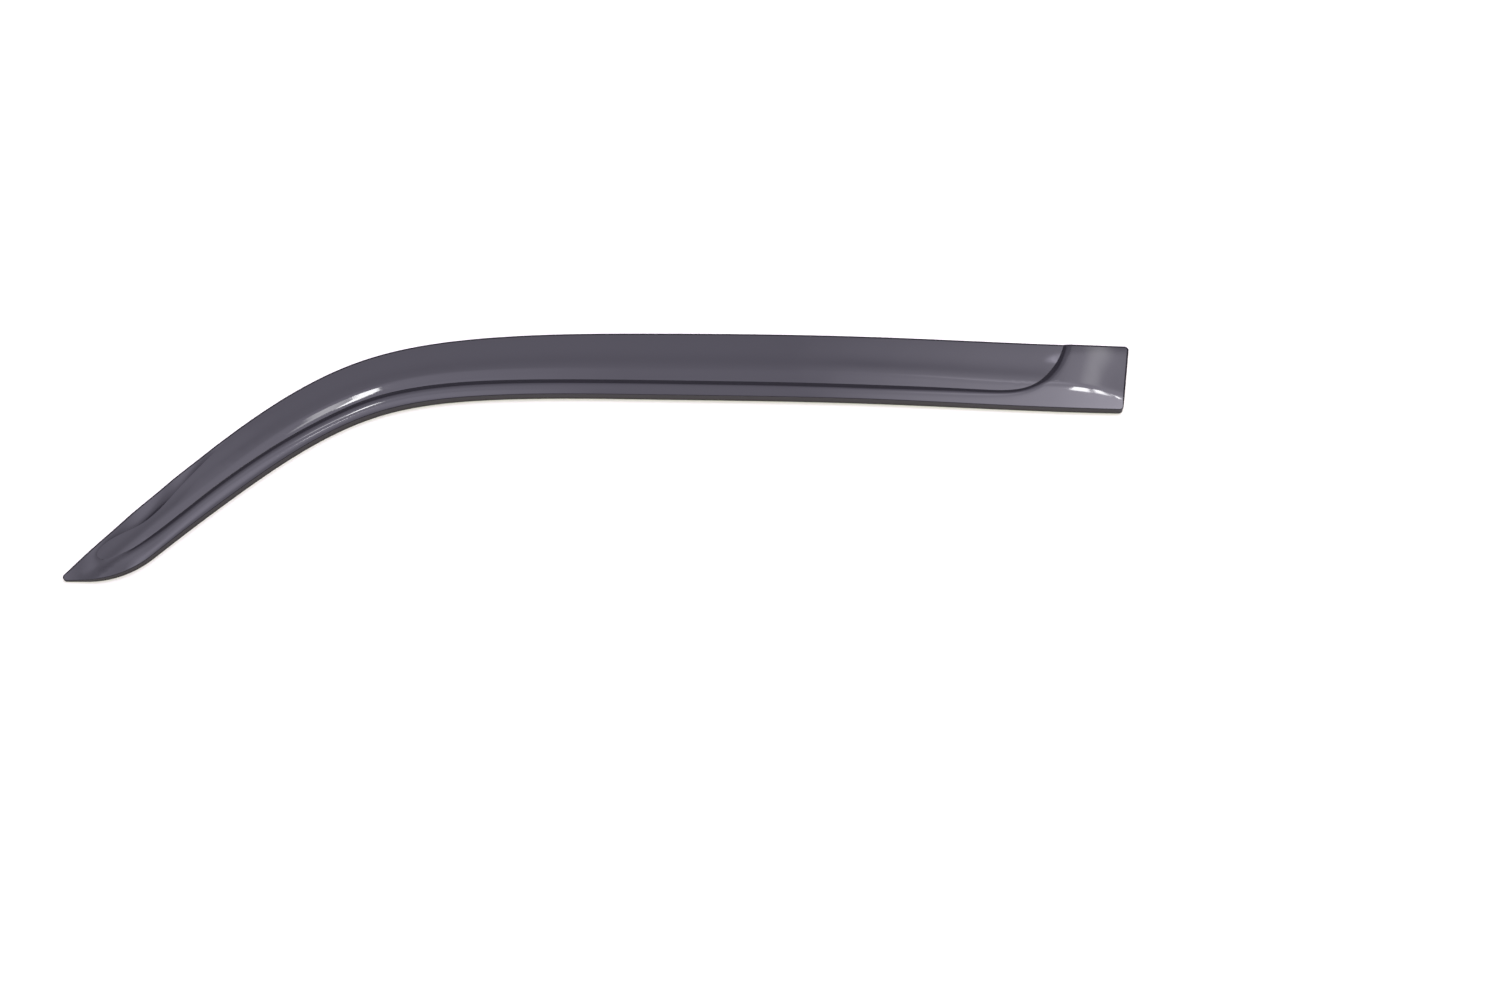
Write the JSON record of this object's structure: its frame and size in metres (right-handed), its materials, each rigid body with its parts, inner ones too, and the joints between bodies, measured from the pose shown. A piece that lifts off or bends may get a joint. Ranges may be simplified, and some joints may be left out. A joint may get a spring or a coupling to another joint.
{
  "type": "window rain deflector",
  "caption": "Curved, glossy dark smoke acrylic band with a stepped panel and a turned-down lip, bonded along a car's front side window frame to shed rain.",
  "frame": {"origin": "on the middle of the bonding land, below the highest point of the upper edge", "axes": "+X to the rear of the car along the band, +Y to the roof, +Z outwards, away from the glass; the hollow side lies on Z = 0"},
  "size_m": [1.0181, 0.2643, 0.0129],
  "materials": {
    "smoke_acrylic": "polished dark smoke acrylic, slightly see-through"
  },
  "bodies": {
    "root": {"deflector_shell": "smoke_acrylic"}
  },
  "joints": []
}
